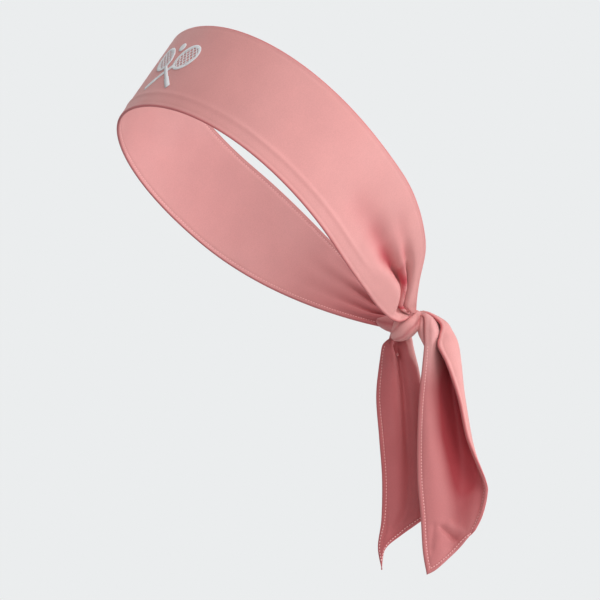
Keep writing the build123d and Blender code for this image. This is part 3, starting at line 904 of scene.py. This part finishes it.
# The lone number in each call below is that roll's painted shade: most on the core, which lies inside the
# knot.
knot_wrap = rolled(
    "knot_wrap_cloth",
    [
        (-6, -7, -5), (-6, -5, -5.5), (-3.5, -0.5, -4), (-1.5, 1, -2),
        (1.5, 1, 0.5), (4.5, -1, 3.5), (6, -5, 4.5), (6, -8, 4),
    ],
    [0.8, 3.2, 5.4, 6.3, 5.8, 4.2, 2.8, 0.8], shell_knit, (0, -1, 0), 0.0,
    creases=((150, 0.12, 12), (215, 0.12, 14)),
)
knot_core = rolled(
    "knot_core_cloth",
    [(-16, -8, 3), (-13.5, -6, 1.8), (-10, -4, 0.8), (-5, -2, -0.5)],
    [1.2, 2.8, 4.0, 4.4], lining_knit, (0, -1, 0), 0.45, creases=((190, 0.1, 18),),
)
knot_back = rolled(
    "knot_back_cloth",
    [(6, -2, 2.5), (5, -6, 2.5), (0, -9.5, 0.5), (-5.5, -9.5, -1.5), (-7, -7, -3)],
    [0.8, 3.6, 4.8, 4.4, 1.2], shell_knit, (0, 1, 0), 0.2, creases=((160, 0.1, 12), (205, 0.1, 14)),
)
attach(knot_back, "band")
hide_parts("knot_wrap")
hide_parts("knot_right_loop")
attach(knot_wrap, "band")
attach(knot_core, "band")


# ---- Stage, light and camera ----
FLOOR_HEIGHT = -0.33
FLOOR_SIZE = 24
FLOOR_GLOW = 0.6            # share of the floor's look that is the plain backdrop
BACKDROP = (0.831, 0.847, 0.855, 1)
WORLD_STRENGTH = 0.4
STUDIO_DISTANCE = 1.5       # of the camera and of each light
SOFTBOX_SIZE = 0.7
HEADBAND_MIDDLE = Vector((0, 0.01, -0.06))
VIEW_BACK = Vector((0.92559, -0.34502, -0.15575)).normalized()
VIEW_RIGHT = Vector((0.34928, 0.93702, 0)).normalized()
VIEW_UP = VIEW_BACK.cross(VIEW_RIGHT)
CAMERA_LENS, CAMERA_SENSOR = 162.9, 36
CAMERA_RIGHT, CAMERA_UP = 0.00738, -0.05891     # how far it is moved aside to frame the headband
camera_data = bpy.data.cameras.new("camera")
camera_data.lens = CAMERA_LENS
camera_data.sensor_width = CAMERA_SENSOR
camera = bpy.data.objects.new("camera", camera_data)
bpy.context.scene.collection.objects.link(camera)
camera.matrix_world = Matrix.Translation(
    VIEW_RIGHT * CAMERA_RIGHT + VIEW_UP * CAMERA_UP + VIEW_BACK * STUDIO_DISTANCE
) @ Matrix((VIEW_RIGHT, VIEW_UP, VIEW_BACK)).transposed().to_4x4()
bpy.context.scene.camera = camera


def studio_light(name, right, up, back, power):
    """A softbox turned to the headband: right and back as the camera sees it, up along the vertical."""
    lamp = bpy.data.lights.new(name, "AREA")
    lamp.shape = "RECTANGLE"
    lamp.size = lamp.size_y = SOFTBOX_SIZE
    lamp.energy = power
    box = bpy.data.objects.new(name, lamp)
    bpy.context.scene.collection.objects.link(box)
    towards = unit(np.array(VIEW_RIGHT) * right + np.array((0, 0, up)) + np.array(VIEW_BACK) * back)
    box.location = HEADBAND_MIDDLE + Vector(towards) * STUDIO_DISTANCE
    box.rotation_euler = (HEADBAND_MIDDLE - box.location).to_track_quat("-Z", "Y").to_euler()


studio_light("key_light", 1.4, 0, 0, 13.5)
studio_light("top_light", 0.6, 1.2, 0.8, 10.5)
studio_light("front_light", 0.2, 0.2, 1.4, 4.5)


def shows_backdrop(tree):
    """1 for the rays that should meet the plain backdrop: the camera's, and those of shine and glass."""
    path = tree.nodes.new("ShaderNodeLightPath")
    shown = path.outputs["Is Camera Ray"]
    for kind in ("Is Glossy Ray", "Is Transmission Ray"):
        either = tree.nodes.new("ShaderNodeMath")
        either.operation = "MAXIMUM"
        tree.links.new(shown, either.inputs[0])
        tree.links.new(path.outputs[kind], either.inputs[1])
        shown = either.outputs["Value"]
    return shown


bpy.ops.mesh.primitive_grid_add(
    x_subdivisions=40, y_subdivisions=40, size=FLOOR_SIZE, location=(0, 0, FLOOR_HEIGHT),
)
floor = bpy.context.object
floor.name = "studio_floor"
paper = Finish("pale_paper", 0.85, 0.0, WHITE)
paper.bump(paper.noise(300), 0.1 * MM, 0.1)
paper.colour((0.8, 0.81, 0.82), paper.speckled(3, 0.99, 1.01))
glow = paper.node("ShaderNodeEmission", {"Color": BACKDROP, "Strength": 1.0}).outputs[0]
glow_share = paper.maths("MULTIPLY", shows_backdrop(paper.tree), FLOOR_GLOW)
lit = paper.node("ShaderNodeMixShader", {0: glow_share, 1: paper.shader.outputs[0], 2: glow})
paper.set(paper.tree.nodes["Material Output"], {"Surface": lit.outputs[0]})
floor.data.materials.append(paper.material)

bpy.context.scene.view_settings.view_transform = "Standard"
world = bpy.data.worlds.new("studio")
bpy.context.scene.world = world
world.use_nodes = True
air = world.node_tree
background = air.nodes["Background"]
seen = air.nodes.new("ShaderNodeBackground")
for node, strength in ((background, WORLD_STRENGTH), (seen, 1)):
    node.inputs["Color"].default_value = BACKDROP
    node.inputs["Strength"].default_value = strength
mix = air.nodes.new("ShaderNodeMixShader")
air.links.new(shows_backdrop(air), mix.inputs["Fac"])
air.links.new(background.outputs["Background"], mix.inputs[1])
air.links.new(seen.outputs["Background"], mix.inputs[2])
air.links.new(mix.outputs["Shader"], air.nodes["World Output"].inputs["Surface"])
